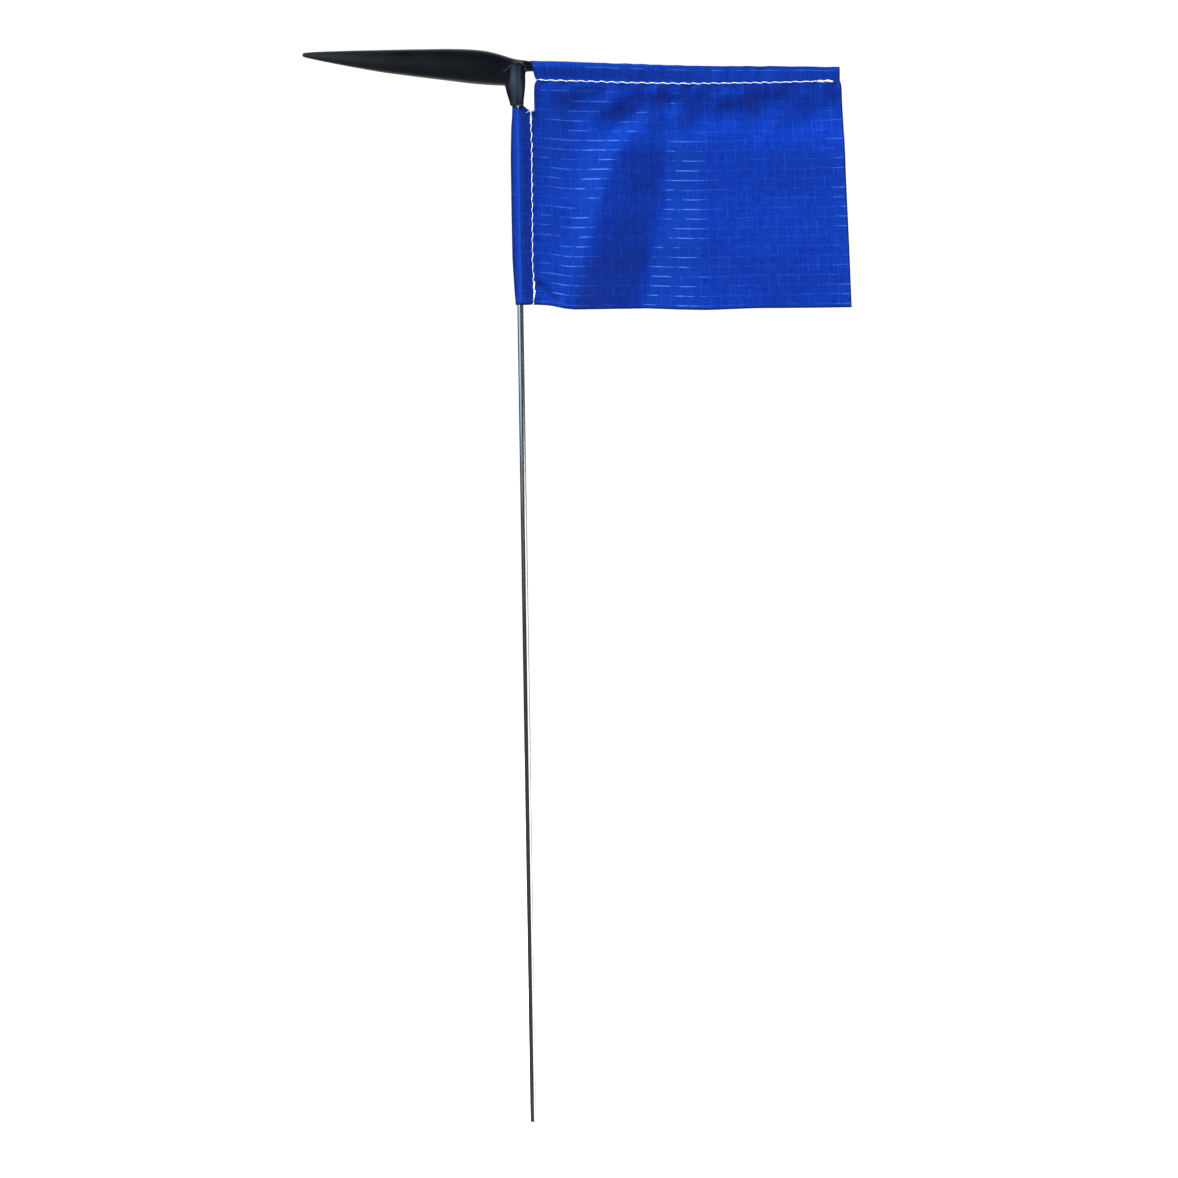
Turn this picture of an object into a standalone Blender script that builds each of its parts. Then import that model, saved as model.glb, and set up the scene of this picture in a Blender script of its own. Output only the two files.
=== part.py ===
"""Masthead racing flag: a balanced vane of black nylon and blue ripstop that swivels on a steel rod.

Frame: metres, +Z up along the rod, +X from the rod towards the fly of the flag, and the origin at the
centre of the rod's foot. Every piece of the vane is drawn from the pivot, which is the rod's top end,
and hangs from an empty there.
"""

import math

import bmesh
import bpy
from mathutils import Matrix

MM = 0.001

# The rod.
ROD_DIAMETER = 3.175 * MM
ROD_LENGTH = 547.0 * MM
ROD_CHAMFER = 0.5 * MM

# The hub, with the blind socket that drops over the rod.
SOCKET_CLEARANCE = 0.08 * MM
SOCKET_DEPTH = 21.0 * MM
SOCKET_ROOF = 2.9 * MM
HUB_FOOT_WALL = 1.75 * MM
HUB_HEAD_WALL = 2.85 * MM
HUB_TAPER_HEIGHT = 11.0 * MM
HUB_CROWN_RADIUS = 1.6 * MM

# The counterweight spear in front of the rod.
SPEAR_LENGTH = 110.8 * MM
SPEAR_HEIGHT = 18.1 * MM
SPEAR_THICKNESS = 9.6 * MM
SPEAR_WIDEST = 23.0 * MM
SPEAR_TIP_HEIGHT = 2.2 * MM
SPEAR_ROOT_HEIGHT = 13.2 * MM
SPEAR_RISE = 9.4 * MM
SPEAR_TIP_DROP = 0.9 * MM
SPEAR_SHOULDER = 40.0 * MM
SPEAR_ROOT_DROP = 6.3 * MM
SPEAR_FULLNESS = 0.8
SPEAR_SHOULDER_POWER = 2.2

# The boom that carries the head of the flag. Its straight top edge is the head line.
BOOM_LENGTH = 89.0 * MM
BOOM_ROOT_HEIGHT = 5.4 * MM
BOOM_TIP_HEIGHT = 2.6 * MM
BOOM_FLATNESS = 0.62
HEAD_LINE_RISE = 2.1 * MM
HEAD_DROOP = math.radians(1.7)

# The cloth. Its solids are thicker than the real cloth, so that they are closed bodies.
CLOTH_THICKNESS = 0.5 * MM
CLOTH_WALL = 0.4 * MM
FLAG_LENGTH = 167.5 * MM
FLY_SLANT = 3.0 * MM
PANEL_DROP = 117.0 * MM
SLEEVE_WIDTH = 10.2 * MM
SLEEVE_SLACK = 1.6 * MM
SLEEVE_LENGTH = 102.3 * MM
NOTCH_STEP = 2.3 * MM
NOTCH_CORNER = 2.4 * MM
HEM_OVERHANG = 0.5 * MM
HEM_HEIGHT = 9.3 * MM
HEM_FLOOR = 1.5 * MM
HEM_FLY_INSET = 0.6 * MM

# The sewing thread, and how far its seams run in from an edge.
THREAD_DIAMETER = 0.4 * MM
SEAM_MARGIN = 0.5 * MM
SEAM_END = 3.0 * MM

# The space between pieces that touch.
GAP = 0.3 * MM

ROUND_STEPS = 48
ARC_STEPS = 8
SPEAR_STATIONS = 28
BOOM_STATIONS = 12
SECTION_STEPS = 32

ROD_RADIUS = ROD_DIAMETER / 2
SOCKET_RADIUS = ROD_RADIUS + SOCKET_CLEARANCE
SOCKET_END = GAP
HUB_TOP = SOCKET_END + SOCKET_ROOF
HUB_FOOT = SOCKET_END - SOCKET_DEPTH
HUB_HEAD_RADIUS = SOCKET_RADIUS + HUB_HEAD_WALL
BOOM_HALF_THICKNESS = BOOM_ROOT_HEIGHT * BOOM_FLATNESS / 2
SLEEVE_HALF_DEPTH = ROD_RADIUS + GAP + CLOTH_WALL
SLEEVE_LEFT = -SLEEVE_HALF_DEPTH - SLEEVE_SLACK
SLEEVE_RIGHT = SLEEVE_LEFT + SLEEVE_WIDTH
SLEEVE_TOP = HUB_FOOT - 2 * GAP
HEM_HALF_DEPTH = BOOM_HALF_THICKNESS + GAP + CLOTH_WALL
HEM_TOP = GAP + CLOTH_WALL
HEM_FOOT = HEM_TOP - HEM_HEIGHT
PANEL_HEAD = HEM_FOOT - GAP
PANEL_LEFT = SLEEVE_RIGHT + GAP
NOTCH_RIGHT = PANEL_LEFT + NOTCH_STEP
HEM_START = NOTCH_RIGHT - HEM_OVERHANG
THREAD_OFFSET = CLOTH_THICKNESS / 2 + GAP + THREAD_DIAMETER / 2
LAST_X = FLAG_LENGTH - HEM_FLY_INSET


def clear_scene():
    for item in list(bpy.data.objects):
        bpy.data.objects.remove(item, do_unlink=True)


def new_collection(name):
    collection = bpy.data.collections.new(name)
    bpy.context.scene.collection.children.link(collection)
    return collection


def new_material(name, colour, metallic, roughness):
    made = bpy.data.materials.new(name)
    made.use_nodes = True
    shader = made.node_tree.nodes["Principled BSDF"]
    shader.inputs["Base Color"].default_value = (*colour, 1)
    shader.inputs["Metallic"].default_value = metallic
    shader.inputs["Roughness"].default_value = roughness
    return made


def add_object(name, data, collection, parent=None):
    made = bpy.data.objects.new(name, data)
    collection.objects.link(made)
    made.parent = parent
    return made


def finish_piece(piece, finish):
    piece.data.materials.clear()
    piece.data.materials.append(finish)


def mark_helper(helper):
    helper.hide_render = True
    helper.display_type = "WIRE"


def head_frame():
    """Local X across the flag, local Y up and local Z along the head line towards the fly."""
    along = (math.cos(HEAD_DROOP), 0, -math.sin(HEAD_DROOP))
    up = (math.sin(HEAD_DROOP), 0, math.cos(HEAD_DROOP))
    rows = zip((0, 1, 0), up, along)
    return Matrix.Translation((0, 0, HEAD_LINE_RISE)) @ Matrix(list(rows)).to_4x4()


def head_point(x, drop):
    """The height of a line that runs below the head line by drop, at x."""
    return HEAD_LINE_RISE + drop / math.cos(HEAD_DROOP) - x * math.tan(HEAD_DROOP)


def add_spline(curve, points, radii=None, closed=False):
    spline = curve.splines.new("POLY")
    spline.points.add(len(points) - 1)
    for i, point in enumerate(points):
        spline.points[i].co = (*point, 1)
        spline.points[i].radius = radii[i] if radii else 1
    spline.use_cyclic_u = closed


def flat_solid(name, outlines, depth, collection, parent):
    """A flat outline with any holes, extruded by depth along its local Z, half to each side."""
    curve = bpy.data.curves.new(name, "CURVE")
    curve.dimensions = "2D"
    curve.fill_mode = "BOTH"
    curve.extrude = depth / 2
    for outline in outlines:
        add_spline(curve, [(x, y, 0) for x, y in outline], closed=True)
    return add_object(name, curve, collection, parent)


def turned_solid(name, profile, collection, parent=None):
    """A solid of revolution about Z, from points (radius, height) that run down its outer side."""
    mesh = bpy.data.meshes.new(name)
    edges = [(i, i + 1) for i in range(len(profile) - 1)]
    mesh.from_pydata([(radius, 0, height) for radius, height in profile], edges, [])
    made = add_object(name, mesh, collection, parent)
    screw = made.modifiers.new("Turn", "SCREW")
    screw.steps = ROUND_STEPS
    screw.render_steps = ROUND_STEPS
    screw.use_merge_vertices = True
    screw.merge_threshold = 0.01 * MM
    screw.use_smooth_shade = True
    return made


def oval_section(name, flatness, collection):
    """A closed oval of height 2 and width 2 * flatness, as the section that a bevelled curve follows."""
    curve = bpy.data.curves.new(name, "CURVE")
    turns = [2 * math.pi * i / SECTION_STEPS for i in range(SECTION_STEPS)]
    add_spline(curve, [(flatness * math.cos(a), math.sin(a), 0) for a in turns], closed=True)
    made = add_object(name, curve, collection)
    mark_helper(made)
    return made


def tapered_bar(name, centres, half_heights, section, collection, parent):
    """A bar whose oval section follows the centres and is scaled to the half height at each."""
    curve = bpy.data.curves.new(name, "CURVE")
    curve.dimensions = "3D"
    curve.twist_mode = "Z_UP"
    curve.bevel_mode = "OBJECT"
    curve.bevel_object = section
    curve.use_fill_caps = True
    add_spline(curve, centres, half_heights)
    return add_object(name, curve, collection, parent)


def curve_to_mesh(item):
    """Replaces a curve object with a welded mesh of the same shape, place and name."""
    bpy.context.view_layer.update()
    graph = bpy.context.evaluated_depsgraph_get()
    mesh = bpy.data.meshes.new_from_object(item.evaluated_get(graph), depsgraph=graph)
    work = bmesh.new()
    work.from_mesh(mesh)
    bmesh.ops.remove_doubles(work, verts=work.verts, dist=0.001 * MM)
    bmesh.ops.recalc_face_normals(work, faces=work.faces)
    work.to_mesh(mesh)
    work.free()
    name = item.name
    collection = item.users_collection[0]
    place = item.matrix_world.copy()
    parent = item.parent
    bpy.data.objects.remove(item, do_unlink=True)
    made = add_object(name, mesh, collection, parent)
    made.matrix_world = place
    return made


def add_boolean(piece, cutter, operation):
    boolean = piece.modifiers.new(cutter.name, "BOOLEAN")
    boolean.operation = operation
    boolean.object = cutter
    boolean.solver = "EXACT"


def stadium(low_x, high_x, half_width):
    """A closed outline along x, with straight sides and full round ends."""
    points = []
    for centre, start in ((high_x - half_width, -math.pi / 2), (low_x + half_width, math.pi / 2)):
        for i in range(2 * ARC_STEPS + 1):
            angle = start + math.pi * i / (2 * ARC_STEPS)
            points.append((centre + half_width * math.cos(angle), half_width * math.sin(angle)))
    return points


def spear_height(ahead):
    """The spear's height at a distance ahead of the rod's axis."""
    if ahead >= SPEAR_WIDEST:
        share = (SPEAR_LENGTH - ahead) / (SPEAR_LENGTH - SPEAR_WIDEST)
        return SPEAR_TIP_HEIGHT + (SPEAR_HEIGHT - SPEAR_TIP_HEIGHT) * share**SPEAR_FULLNESS
    turn = math.pi / 2 * (1 - ahead / SPEAR_WIDEST)
    return SPEAR_ROOT_HEIGHT + (SPEAR_HEIGHT - SPEAR_ROOT_HEIGHT) * math.cos(turn)


def spear_top(ahead):
    """The height of the spear's top edge, which falls a little at the tip and more towards the hub."""
    tip = max(0.0, (ahead - SPEAR_SHOULDER) / (SPEAR_LENGTH - SPEAR_SHOULDER))
    root = max(0.0, 1 - ahead / SPEAR_SHOULDER)
    fall = SPEAR_TIP_DROP * tip**2 + SPEAR_ROOT_DROP * root**SPEAR_SHOULDER_POWER
    return SPEAR_RISE - fall


def make_spear(collection, pivot):
    """The teardrop counterweight, from inside the hub to its blunt tip."""
    section = oval_section("spear_section", SPEAR_THICKNESS / SPEAR_HEIGHT, collection)
    stations = [SPEAR_LENGTH * i / SPEAR_STATIONS for i in range(SPEAR_STATIONS + 1)]
    centres = []
    half_heights = []
    for ahead in stations:
        half = spear_height(ahead) / 2
        centres.append((-ahead, 0, spear_top(ahead) - half))
        half_heights.append(half)
    spear = tapered_bar("spear", centres, half_heights, section, collection, pivot)
    spear = curve_to_mesh(spear)
    mark_helper(spear)
    return spear


def make_boom(collection, pivot):
    """The tapered boom, straight along its top edge, with a rounded tip."""
    section = oval_section("boom_section", BOOM_FLATNESS, collection)
    centres = []
    half_heights = []
    for i in range(BOOM_STATIONS + 1):
        share = i / BOOM_STATIONS
        half = (BOOM_ROOT_HEIGHT + (BOOM_TIP_HEIGHT - BOOM_ROOT_HEIGHT) * share) / 2
        x = (BOOM_LENGTH - BOOM_TIP_HEIGHT / 2) * share
        centres.append((x, 0, head_point(x, -half)))
        half_heights.append(half)
    for i in range(1, ARC_STEPS):
        angle = math.pi / 2 * i / ARC_STEPS
        x = BOOM_LENGTH - BOOM_TIP_HEIGHT / 2 * (1 - math.sin(angle))
        centres.append((x, 0, head_point(x, -BOOM_TIP_HEIGHT / 2)))
        half_heights.append(BOOM_TIP_HEIGHT / 2 * math.cos(angle))
    boom = tapered_bar("boom", centres, half_heights, section, collection, pivot)
    boom = curve_to_mesh(boom)
    mark_helper(boom)
    return boom


def hub_profile():
    """The hub's outer side: a rounded crown, a straight barrel and a taper down to its foot."""
    points = [(0, HUB_TOP)]
    for i in range(ARC_STEPS + 1):
        angle = math.pi / 2 * i / ARC_STEPS
        radius = HUB_HEAD_RADIUS - HUB_CROWN_RADIUS * (1 - math.sin(angle))
        points.append((radius, HUB_TOP - HUB_CROWN_RADIUS * (1 - math.cos(angle))))
    points.append((HUB_HEAD_RADIUS, HUB_FOOT + HUB_TAPER_HEIGHT))
    points.append((SOCKET_RADIUS + HUB_FOOT_WALL, HUB_FOOT))
    points.append((0, HUB_FOOT))
    return points


def make_swivel_head(parts, helpers, pivot, finish):
    """One moulding: the hub with its socket, the counterweight spear and the boom."""
    head = turned_solid("swivel_head", hub_profile(), parts, pivot)
    below = HUB_FOOT - GAP
    bore = [(0, SOCKET_END), (SOCKET_RADIUS, SOCKET_END), (SOCKET_RADIUS, below), (0, below)]
    socket = turned_solid("socket", bore, helpers, pivot)
    mark_helper(socket)
    add_boolean(head, make_spear(helpers, pivot), "UNION")
    add_boolean(head, make_boom(helpers, pivot), "UNION")
    add_boolean(head, socket, "DIFFERENCE")
    finish_piece(head, finish)


def make_support_rod(parts, finish):
    """The steel rod, with a small chamfer at each end."""
    shoulder = ROD_RADIUS - ROD_CHAMFER
    profile = [(0, ROD_LENGTH), (shoulder, ROD_LENGTH), (ROD_RADIUS, ROD_LENGTH - ROD_CHAMFER)]
    profile += [(ROD_RADIUS, ROD_CHAMFER), (shoulder, 0), (0, 0)]
    rod = turned_solid("support_rod", profile, parts)
    finish_piece(rod, finish)


def make_hoist_sleeve(parts, pivot, finish):
    """The front edge of the cloth, folded back round the rod as a flat tube."""
    outer = stadium(SLEEVE_LEFT, SLEEVE_RIGHT, SLEEVE_HALF_DEPTH)
    inner = stadium(SLEEVE_LEFT + CLOTH_WALL, SLEEVE_RIGHT - CLOTH_WALL, SLEEVE_HALF_DEPTH - CLOTH_WALL)
    sleeve = flat_solid("hoist_sleeve", [outer, inner], SLEEVE_LENGTH, parts, pivot)
    sleeve.location = (0, 0, SLEEVE_TOP - SLEEVE_LENGTH / 2)
    finish_piece(sleeve, finish)


def make_head_hem(parts, pivot, finish):
    """The top edge of the cloth, folded down into a pocket for the boom."""
    outer = stadium(HEM_FOOT, HEM_TOP, HEM_HALF_DEPTH)
    pocket_half = HEM_HALF_DEPTH - CLOTH_WALL
    inner = stadium(HEM_FOOT + HEM_FLOOR, HEM_TOP - CLOTH_WALL, pocket_half)
    outlines = [[(y, x) for x, y in outline] for outline in (outer, inner)]
    length = (LAST_X - HEM_START) / math.cos(HEAD_DROOP)
    hem = flat_solid("head_hem", outlines, length, parts, pivot)
    middle = (LAST_X + HEM_START) / 2 / math.cos(HEAD_DROOP)
    hem.matrix_local = head_frame() @ Matrix.Translation((0, 0, middle))
    finish_piece(hem, finish)


def make_flag_panel(parts, pivot, finish):
    """The flying part of the cloth, between the sleeve, the hem and the free edges."""
    foot = PANEL_HEAD - PANEL_DROP
    outline = [
        (PANEL_LEFT, head_point(PANEL_LEFT, foot)),
        (FLAG_LENGTH + FLY_SLANT, head_point(FLAG_LENGTH + FLY_SLANT, foot)),
        (FLAG_LENGTH, head_point(FLAG_LENGTH, PANEL_HEAD)),
        (NOTCH_RIGHT, head_point(NOTCH_RIGHT, PANEL_HEAD)),
        (NOTCH_RIGHT, SLEEVE_TOP),
        (PANEL_LEFT, SLEEVE_TOP - NOTCH_CORNER),
    ]
    panel = flat_solid("flag_panel", [outline], CLOTH_THICKNESS, parts, pivot)
    panel.rotation_euler = (math.pi / 2, 0, 0)
    finish_piece(panel, finish)


def make_thread(name, start, end, parts, pivot, finish):
    """One thread of a lockstitched seam, as a plain straight cord along the seam."""
    curve = bpy.data.curves.new(name, "CURVE")
    curve.dimensions = "3D"
    curve.bevel_depth = THREAD_DIAMETER / 2
    curve.bevel_resolution = 2
    curve.use_fill_caps = True
    add_spline(curve, [start, end])
    thread = add_object(name, curve, parts, pivot)
    finish_piece(thread, finish)


def make_seams(parts, pivot, finish):
    """The needle thread on the near side and the bobbin thread on the far side of each seam."""
    seam_x = PANEL_LEFT + SEAM_MARGIN
    seam_top = SLEEVE_TOP - NOTCH_CORNER
    seam_foot = SLEEVE_TOP - SLEEVE_LENGTH + SEAM_MARGIN
    seam_drop = PANEL_HEAD - SEAM_MARGIN
    first_x = NOTCH_RIGHT + SEAM_MARGIN
    last_x = FLAG_LENGTH - SEAM_END
    for side, y in (("needle", -THREAD_OFFSET), ("bobbin", THREAD_OFFSET)):
        top = (seam_x, y, seam_top)
        foot = (seam_x, y, seam_foot)
        make_thread("hoist_seam_" + side + "_thread", top, foot, parts, pivot, finish)
        first = (first_x, y, head_point(first_x, seam_drop))
        last = (last_x, y, head_point(last_x, seam_drop))
        make_thread("head_seam_" + side + "_thread", first, last, parts, pivot, finish)


def main():
    clear_scene()
    parts = new_collection("masthead_racing_flag")
    helpers = new_collection("helpers")
    steel = new_material("polished_stainless_steel", (0.62, 0.62, 0.61), 1.0, 0.2)
    nylon = new_material("moulded_black_nylon", (0.012, 0.012, 0.014), 0.0, 0.35)
    ripstop = new_material("blue_ripstop_nylon", (0.006, 0.045, 0.42), 0.0, 0.5)
    thread = new_material("white_polyester_thread", (0.8, 0.8, 0.8), 0.0, 0.55)
    pivot = add_object("vane_pivot", None, parts)
    pivot.location = (0, 0, ROD_LENGTH)
    bpy.context.view_layer.update()
    make_support_rod(parts, steel)
    make_swivel_head(parts, helpers, pivot, nylon)
    make_hoist_sleeve(parts, pivot, ripstop)
    make_head_hem(parts, pivot, ripstop)
    make_flag_panel(parts, pivot, ripstop)
    make_seams(parts, pivot, thread)


main()
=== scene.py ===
# %% [markdown]
# # A masthead racing flag, piece by piece
#
# This is the small blue flag that a dinghy or keelboat carries at the top of
# its mast to show the wind. A thin steel rod stands up from the mast. A black
# nylon head is pushed over the rod's top end and turns freely on it. The head
# has a teardrop counterweight in front and a slim boom behind, and the cloth
# hangs from the boom, with its front edge sewn round the rod as a sleeve.
#
# The frame comes first. It holds the engineering solids in their real places,
# and every finished piece below is made to stand where its solid stands.

# %% Load the frame
import math

import bmesh
import bpy
import numpy as np
from mathutils import Matrix, Vector


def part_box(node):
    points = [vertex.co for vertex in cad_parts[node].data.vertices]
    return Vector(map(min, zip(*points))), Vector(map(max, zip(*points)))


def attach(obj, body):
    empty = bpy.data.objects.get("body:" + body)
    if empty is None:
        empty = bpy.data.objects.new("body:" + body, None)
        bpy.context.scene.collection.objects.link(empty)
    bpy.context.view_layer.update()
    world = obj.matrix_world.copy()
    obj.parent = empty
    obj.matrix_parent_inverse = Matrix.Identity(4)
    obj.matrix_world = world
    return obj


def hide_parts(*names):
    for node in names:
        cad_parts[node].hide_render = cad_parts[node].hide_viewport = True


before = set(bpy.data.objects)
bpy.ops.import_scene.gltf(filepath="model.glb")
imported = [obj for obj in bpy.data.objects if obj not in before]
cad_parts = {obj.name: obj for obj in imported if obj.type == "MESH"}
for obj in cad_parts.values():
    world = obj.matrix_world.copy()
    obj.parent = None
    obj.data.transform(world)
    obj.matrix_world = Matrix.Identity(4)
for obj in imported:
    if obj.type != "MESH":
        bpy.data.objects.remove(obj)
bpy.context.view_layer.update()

MM = 0.001
rod_high = np.array(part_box("support_rod")[1]) / MM
head_low, head_high = (np.array(corner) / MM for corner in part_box("swivel_head"))
PIVOT = rod_high[2]

# %% [markdown]
# ## Working in millimetres
#
# Blender's unit is the metre, but every size on this object is a few
# millimetres, so the shapes are written in millimetres and scaled once, when
# their mesh is made. Colours are written as sRGB hex, the way a paint program
# shows them, and one function turns them to the linear values a shader needs.

# %% Small helpers


def add_piece(name, points, faces, smooth=True):
    """A mesh object from points in millimetres."""
    mesh = bpy.data.meshes.new(name)
    mesh.from_pydata((np.asarray(points, float) * MM).tolist(), [], faces)
    if smooth:
        mesh.shade_smooth()
    made = bpy.data.objects.new(name, mesh)
    bpy.context.scene.collection.objects.link(made)
    return made


def apply_modifiers(piece):
    """Turns the piece's modifiers into plain mesh."""
    bpy.context.view_layer.update()
    graph = bpy.context.evaluated_depsgraph_get()
    mesh = bpy.data.meshes.new_from_object(piece.evaluated_get(graph), depsgraph=graph)
    old = piece.data
    piece.modifiers.clear()
    piece.data = mesh
    bpy.data.meshes.remove(old)


def linear(hex_colour):
    """An sRGB hex colour as linear red, green and blue, with alpha 1."""
    parts = [int(hex_colour[i : i + 2], 16) / 255 for i in (1, 3, 5)]
    return (*[p / 12.92 if p <= 0.04045 else ((p + 0.055) / 1.055) ** 2.4 for p in parts], 1)


def ease(x, low, high):
    """0 below low, 1 above high, and a smooth step between."""
    share = np.clip((np.asarray(x, float) - low) / (high - low), 0, 1)
    return share * share * (3 - 2 * share)


def bell(width):
    """Weights of a soft average that reaches this many places to each side."""
    weights = np.hanning(2 * width + 3)[1:-1]
    return weights / weights.sum()


def smooth(line, width):
    """A line of values averaged softly, with both of its ends kept."""
    padded = np.pad(line, width, mode="reflect", reflect_type="odd")
    return np.convolve(padded, bell(width), "valid")


def through(x, stations):
    """A smooth curve through a few (position, value) stations."""
    at, value = np.array(stations, float).T
    fine = np.linspace(at[0], at[-1], 400)
    return np.interp(x, fine, smooth(np.interp(fine, at, value), 12))


print("the middle grey #808080 is", round(linear("#808080")[0], 3), "of white in linear light")


# %% [markdown]
# ## Camera, light and floor
#
# The flag is shown from the side, level with the middle of its rod, through a
# long lens that keeps the rod straight. One large soft light stands high on
# the left and rakes across the cloth, which is what makes its folds readable.
# It is kept out of reflections, as a polarising filter would, so that it
# doesn't bleach the black moulding. A cool window in front and above gives the
# hub its soft sheen, and a small blue card beside it adds a faint glint. A low
# white card on the right draws the bright line down the rod, and a light
# behind shines through the thin nylon. The surroundings are nearly dark in
# front. Behind they brighten above and below, and the rims of the rod and the
# moulding pick that up.

# %% Camera
FRAME_WIDTH = 610.0
CAMERA_DISTANCE = 2000.0
SENSOR = 36.0
ROLL = math.radians(-0.92)
AIM = (33.2, 0.0, 275.5)

camera_data = bpy.data.cameras.new("side_camera")
camera_data.sensor_width = SENSOR
camera_data.lens = SENSOR * CAMERA_DISTANCE / FRAME_WIDTH
camera = bpy.data.objects.new("side_camera", camera_data)
camera.location = Vector((AIM[0], AIM[1] - CAMERA_DISTANCE, AIM[2])) * MM
camera.rotation_euler = (Matrix.Rotation(math.pi / 2, 3, "X") @ Matrix.Rotation(ROLL, 3, "Z")).to_euler()
bpy.context.scene.collection.objects.link(camera)
bpy.context.scene.camera = camera
bpy.context.scene.view_settings.view_transform = "Standard"
print("lens", round(camera_data.lens), "mm")


# %% Soft lights
SKY = (0.56, 0.76, 1.0)
WHITE = (1.0, 1.0, 1.0)


def add_softbox(name, azimuth, elevation, distance, size, power, target, colour=WHITE, mirrored=True):
    """A rectangular light. Azimuth 0 is in front of the flag and 90 is on its fly side."""
    data = bpy.data.lights.new(name, "AREA")
    data.shape = "RECTANGLE"
    data.size, data.size_y = size
    data.energy = power
    data.color = colour
    around, up = math.radians(azimuth), math.radians(elevation)
    level = distance * math.cos(up)
    offset = Vector((level * math.sin(around), -level * math.cos(around), distance * math.sin(up)))
    made = bpy.data.objects.new(name, data)
    made.location = Vector(target) * MM + offset
    made.rotation_euler = (-offset).to_track_quat("-Z", "Y").to_euler()
    made.visible_glossy = mirrored
    bpy.context.scene.collection.objects.link(made)
    return made


# Degrees, then metres, watts, and a target in millimetres.
lights = [
    add_softbox("key_softbox", -54, 44, 2.0, (1.1, 1.1), 102, (60, 0, 470), mirrored=False),
    add_softbox("window", -46, 0, 2.0, (2.6, 1.0), 11.5, (0, 0, 940), SKY),
    add_softbox("white_card", 72, -16, 1.1, (1.5, 0.8), 7.5, (0, 0, 300)),
    add_softbox("glint_card", 36, 7.2, 1.1, (0.28, 0.12), 0.5, (0, 0, 526), SKY),
    add_softbox("back_softbox", 172, 30, 2.0, (1.4, 1.2), 34, (90, 0, 480), mirrored=False),
]
print("lights", {light.name: light.data.energy for light in lights}, "watts")

# %% Floor
FLOOR_DROP = 60.0
FLOOR_RADIUS = 6000.0
FLOOR_SIDES = 96
turn = np.linspace(0, 2 * math.pi, FLOOR_SIDES, endpoint=False)
floor_heights = np.full(FLOOR_SIDES, -FLOOR_DROP)
floor_edge = np.stack([FLOOR_RADIUS * np.cos(turn), FLOOR_RADIUS * np.sin(turn), floor_heights], 1)
floor = add_piece("studio_floor", floor_edge, [list(range(FLOOR_SIDES))], smooth=False)
floor.visible_diffuse = False
floor.visible_glossy = False
floor.visible_transmission = False
print("floor", round(2 * FLOOR_RADIUS * MM), "m across")

# %% [markdown]
# ## One way to build a material
#
# Every finish below is a small tree of shader nodes. This one function adds a
# node, sets its properties, and fills each input with a value or a link, so
# that the recipes read like lists. An input is called by its name or by its
# place: places 1 to 4 of a MapRange are the range it reads, low and high, and
# the range it gives, and places 1 and 2 of a MixRGB are its two colours.

# %% Node helper


def add_node(tree, kind, inputs=None, **settings):
    """A shader node. An input takes a value, or another node's output to link it to."""
    made = tree.nodes.new("ShaderNode" + kind)
    for name, value in settings.items():
        setattr(made, name, value)
    for socket, value in (inputs or {}).items():
        if isinstance(value, bpy.types.NodeSocket):
            tree.links.new(value, made.inputs[socket])
        else:
            made.inputs[socket].default_value = value
    return made


def start_material(name):
    made = bpy.data.materials.new(name)
    made.use_nodes = True
    made.node_tree.nodes.clear()
    return made, made.node_tree


# %% Floor paint and surroundings
paint, tree = start_material("matt_white_paint")
matt = add_node(tree, "BsdfDiffuse", {"Color": linear("#F4F4F4")})
lift = add_node(tree, "Emission", {"Color": linear("#FFFFFF"), "Strength": 1.0})
both = add_node(tree, "AddShader", {0: matt.outputs[0], 1: lift.outputs[0]})
add_node(tree, "OutputMaterial", {"Surface": both.outputs[0]})
floor.data.materials.append(paint)

world = bpy.data.worlds.new("white_studio")
bpy.context.scene.world = world
world.use_nodes = True
tree = world.node_tree
tree.nodes.clear()
place = add_node(tree, "TexCoord")
direction = add_node(tree, "SeparateXYZ", {0: place.outputs["Generated"]})
dim = add_node(tree, "MapRange", {"Value": direction.outputs[2], 1: -0.7, 2: 0.0, 3: 0.3, 4: 0.07})
steep = add_node(tree, "Math", {0: direction.outputs[2]}, operation="ABSOLUTE")
steep = add_node(tree, "MapRange", {"Value": steep.outputs[0], 1: 0.2, 2: 0.6, 3: 0.0, 4: 1.0})
behind = add_node(tree, "MapRange", {"Value": direction.outputs[1], 1: -0.35, 2: 0.4, 3: 0.0, 4: 1.4})
brightness = add_node(
    tree, "Math", {0: steep.outputs[0], 1: behind.outputs[0], 2: dim.outputs[0]}, operation="MULTIPLY_ADD"
)
room = add_node(tree, "Background", {"Color": linear("#DDE3EA"), "Strength": brightness.outputs[0]})
paper = add_node(tree, "Background", {"Color": linear("#FFFFFF"), "Strength": 1.05})
path = add_node(tree, "LightPath")
to_camera = path.outputs["Is Camera Ray"]
seen = add_node(tree, "MixShader", {0: to_camera, 1: room.outputs[0], 2: paper.outputs[0]})
add_node(tree, "OutputWorld", {"Surface": seen.outputs[0]})
print(paint.name, "and", world.name)

# %% [markdown]
# ## The rod
#
# The rod is an eighth of an inch of polished stainless steel, cut to length
# and chamfered at both ends. A turned piece like this is a profile spun round
# an axis. Rings of points do the same here, and give control over how finely
# the chamfers are rounded.

# %% Loft and spin helpers


def loft(rings):
    """Points and faces of a closed skin over rings of equal count."""
    points = [tuple(p) for ring in rings for p in ring]
    count = len(rings[0])
    faces = []
    for k in range(len(rings) - 1):
        low, high = k * count, (k + 1) * count
        for i in range(count):
            j = (i + 1) % count
            faces.append((low + i, low + j, high + j, high + i))
    faces.append(tuple(range(count))[::-1])
    faces.append(tuple(range(len(points) - count, len(points))))
    return points, faces


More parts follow.
